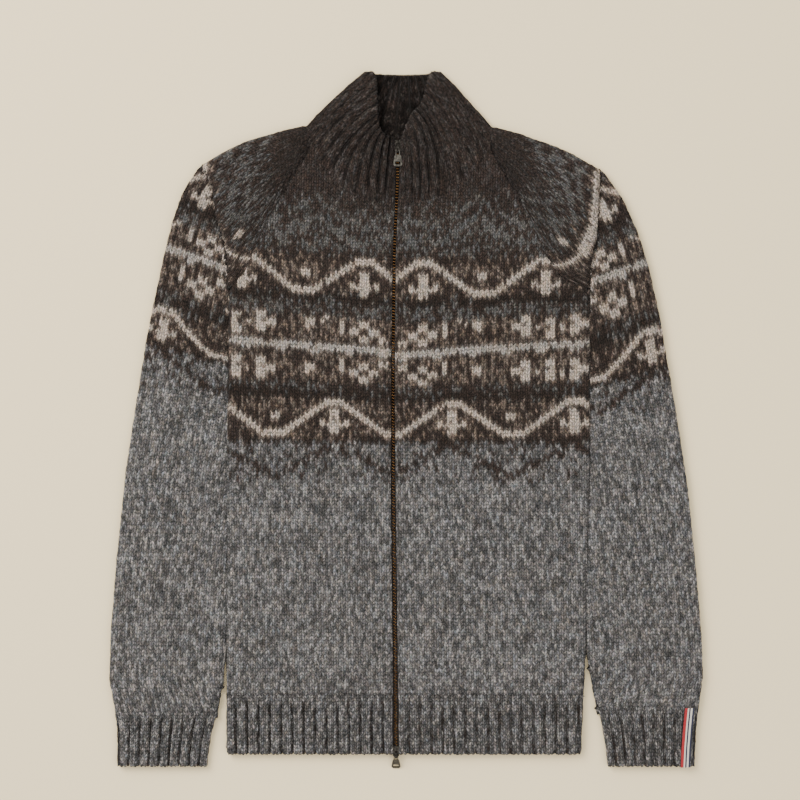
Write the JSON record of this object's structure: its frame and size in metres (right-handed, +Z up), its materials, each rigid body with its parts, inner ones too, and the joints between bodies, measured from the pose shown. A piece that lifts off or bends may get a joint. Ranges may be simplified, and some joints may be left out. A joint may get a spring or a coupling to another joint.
{
  "type": "zip-up knitted cardigan",
  "caption": "Long-sleeved zip-up knitted cardigan laid flat, front up, with a ribbed stand-up collar, raglan sleeves, ribbed cuffs and hem, and a two-way metal zip.",
  "frame": {"origin": "on the surface that the garment lies on, under the middle of its outline", "axes": "+Z up from the surface, +Y from the hem towards the collar, +X to the wearer's left"},
  "size_m": [0.672, 0.7888, 0.0226],
  "materials": {
    "pattern_knit": "brushed heavy wool knit, grey marl with a brown and cream patterned yoke",
    "marl_rib": "brushed grey marl wool in a knitted rib",
    "collar_rib": "brushed dark brown wool in a knitted rib",
    "zip_tape": "woven dark brown zip tape",
    "brass_teeth": "antique brass zip teeth",
    "dark_nickel": "dark satin nickel with bright worn rims",
    "woven_tab": "small woven ribbon tab with plain stripes"
  },
  "bodies": {
    "garment": {"back": "pattern_knit", "front_left": "pattern_knit", "front_right": "pattern_knit", "sleeve_left": "pattern_knit", "sleeve_right": "pattern_knit", "hem_left": "marl_rib", "hem_right": "marl_rib", "hem_back": "marl_rib", "cuff_left": "marl_rib", "cuff_right": "marl_rib", "collar": "collar_rib", "tape_left": "zip_tape", "tape_right": "zip_tape", "zip_chain": "brass_teeth", "slider_top": "dark_nickel", "slider_bottom": "dark_nickel", "cuff_tab": "woven_tab"},
    "upper_pull": {"pull_top": "dark_nickel"},
    "lower_pull": {"pull_bottom": "dark_nickel"}
  },
  "joints": [
    {"name": "upper_pull_swing", "type": "hinge", "parent": "garment", "child": "upper_pull", "pos_m": [-0.00957, 0.305, 0.012], "axis": [-1, 0, 0], "range_deg": [0, 170]},
    {"name": "lower_pull_swing", "type": "hinge", "parent": "garment", "child": "lower_pull", "pos_m": [-0.0116, -0.3798, 0.012], "axis": [-1, 0, 0], "range_deg": [-15, 205]}
  ]
}
